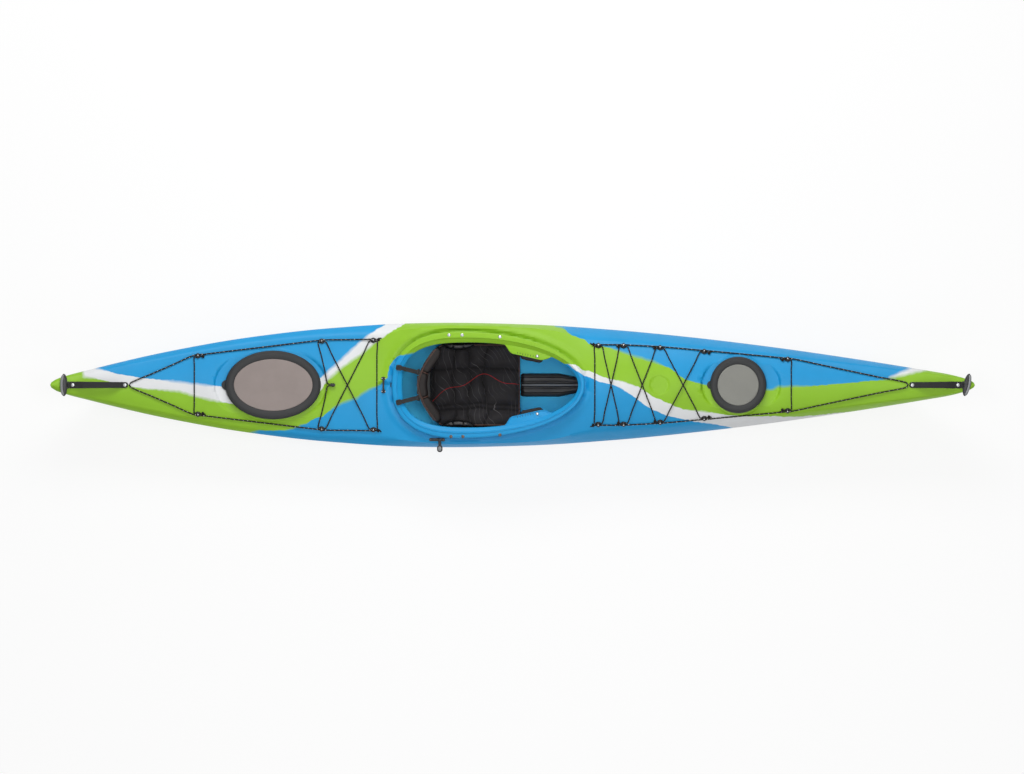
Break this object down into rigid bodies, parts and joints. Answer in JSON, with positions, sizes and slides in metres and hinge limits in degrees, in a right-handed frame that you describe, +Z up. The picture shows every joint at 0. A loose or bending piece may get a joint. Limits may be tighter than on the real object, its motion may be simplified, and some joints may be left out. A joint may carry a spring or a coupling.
{
  "type": "sea kayak",
  "caption": "Touring sea kayak with an outfitted cockpit, folding backrest, sliding foot braces, drop skeg, sealed hatches, deck lines and carry handles.",
  "frame": {"origin": "on the flat underside of the keel, on the centreline at mid-length", "axes": "+X towards the bow, +Y to port, +Z up"},
  "size_m": [4.42, 0.6211, 0.4217],
  "materials": {
    "hull_plastic": "semi-gloss",
    "bulkhead_foam": "matte",
    "black_moulding": "satin",
    "blade_plastic": "satin",
    "seat_cover": "woven",
    "webbing": "woven",
    "cord": "braided",
    "hatch_rubber": "matte",
    "hatch_plate_plastic": "textured",
    "steel": "polished"
  },
  "bodies": {
    "kayak": {"hull_shell": "hull_plastic", "rear_bulkhead": "bulkhead_foam", "front_bulkhead": "bulkhead_foam", "skeg_line_tube": "black_moulding", "keel_stiffener": "black_moulding", "seat_pan": "black_moulding", "seat_cushion": "seat_cover", "port_hip_pad": "seat_cover", "starboard_hip_pad": "seat_cover", "port_backrest_strap": "webbing", "starboard_backrest_strap": "webbing", "port_foot_rail": "black_moulding", "starboard_foot_rail": "black_moulding", "skeg_box": "black_moulding", "skeg_pivot_pin": "steel", "skeg_fairlead": "black_moulding", "security_bar": "black_moulding", "port_stern_fitting": "black_moulding", "port_aft_fitting": "black_moulding", "port_quarter_fitting": "black_moulding", "port_knee_fitting": "black_moulding", "port_midfore_fitting": "black_moulding", "port_fore_fitting": "black_moulding", "port_hatch_fitting": "black_moulding", "port_bow_fitting": "black_moulding", "starboard_stern_fitting": "black_moulding", "starboard_aft_fitting": "black_moulding", "starboard_quarter_fitting": "black_moulding", "starboard_knee_fitting": "black_moulding", "starboard_midfore_fitting": "black_moulding", "starboard_fore_fitting": "black_moulding", "starboard_hatch_fitting": "black_moulding", "starboard_bow_fitting": "black_moulding", "rear_deck_line": "cord", "front_deck_line": "cord", "rear_bungee": "cord", "front_bungee": "cord", "stern_bungee": "cord", "bow_bungee": "cord", "cord_lock": "black_moulding", "stern_carry_strap": "webbing", "bow_carry_strap": "webbing"},
    "skeg": {"skeg_blade": "blade_plastic"},
    "skeg_pull": {"skeg_toggle": "black_moulding", "skeg_cord": "cord"},
    "port_pedal": {"port_foot_pedal": "black_moulding"},
    "starboard_pedal": {"starboard_foot_pedal": "black_moulding"},
    "backrest": {"backrest_shell": "black_moulding", "backrest_pad": "seat_cover"},
    "stern_handle": {"stern_grip": "black_moulding"},
    "bow_handle": {"bow_grip": "black_moulding"},
    "rear_hatch_lid": {"rear_hatch_cover": "hatch_rubber", "rear_hatch_plate": "hatch_plate_plastic"},
    "front_hatch_lid": {"front_hatch_cover": "hatch_rubber", "front_hatch_plate": "hatch_plate_plastic"},
    "port_thigh_brace": {"port_thigh_pad": "seat_cover", "port_thigh_bolt": "steel"},
    "starboard_thigh_brace": {"starboard_thigh_pad": "seat_cover", "starboard_thigh_bolt": "steel"}
  },
  "joints": [
    {"name": "skeg_pivot", "type": "hinge", "parent": "kayak", "child": "skeg", "pos_m": [-1.31, 0, 0.056], "axis": [0, -1, 0], "range_deg": [0, 50], "stiffness_Nm_per_rad": 1.5, "springref_deg": -31.51},
    {"name": "skeg_pull_slide", "type": "slide", "parent": "kayak", "child": "skeg_pull", "axis": [0.004, -0.9975, -0.0708], "range_m": [0, 0.12], "deforming": ["skeg_cord"]},
    {"name": "port_pedal_slide", "type": "slide", "parent": "kayak", "child": "port_pedal", "axis": [0.996, -0.0892, 0], "range_m": [-0.14, 0.14]},
    {"name": "starboard_pedal_slide", "type": "slide", "parent": "kayak", "child": "starboard_pedal", "axis": [0.996, 0.0892, 0], "range_m": [-0.14, 0.14]},
    {"name": "backrest_fold", "type": "hinge", "parent": "kayak", "child": "backrest", "pos_m": [-0.414, 0, 0.092], "axis": [0, 1, 0], "range_deg": [-10, 25], "deforming": ["port_backrest_strap", "starboard_backrest_strap"]},
    {"name": "stern_handle_swing", "type": "hinge", "parent": "kayak", "child": "stern_handle", "pos_m": [-2.1225, 0, 0.3567], "axis": [0, 1, 0], "range_deg": [0, 75]},
    {"name": "bow_handle_swing", "type": "hinge", "parent": "kayak", "child": "bow_handle", "pos_m": [2.1495, 0, 0.4112], "axis": [0, -1, 0], "range_deg": [0, 75]},
    {"name": "rear_hatch_lift", "type": "slide", "parent": "kayak", "child": "rear_hatch_lid", "axis": [0.0512, 0, 0.9987], "range_m": [0, 0.15]},
    {"name": "front_hatch_lift", "type": "slide", "parent": "kayak", "child": "front_hatch_lid", "axis": [-0.0134, 0, 0.9999], "range_m": [0, 0.15]},
    {"name": "port_thigh_brace_slide", "type": "slide", "parent": "kayak", "child": "port_thigh_brace", "axis": [0.9757, -0.1972, 0.0953], "range_m": [-0.088, 0]},
    {"name": "starboard_thigh_brace_slide", "type": "slide", "parent": "kayak", "child": "starboard_thigh_brace", "axis": [0.9757, 0.1972, 0.0953], "range_m": [-0.088, 0]}
  ],
  "couplings": [
    {"joint": "skeg_pull_slide", "follows": "skeg_pivot", "m_per_rad": 0.1375}
  ]
}
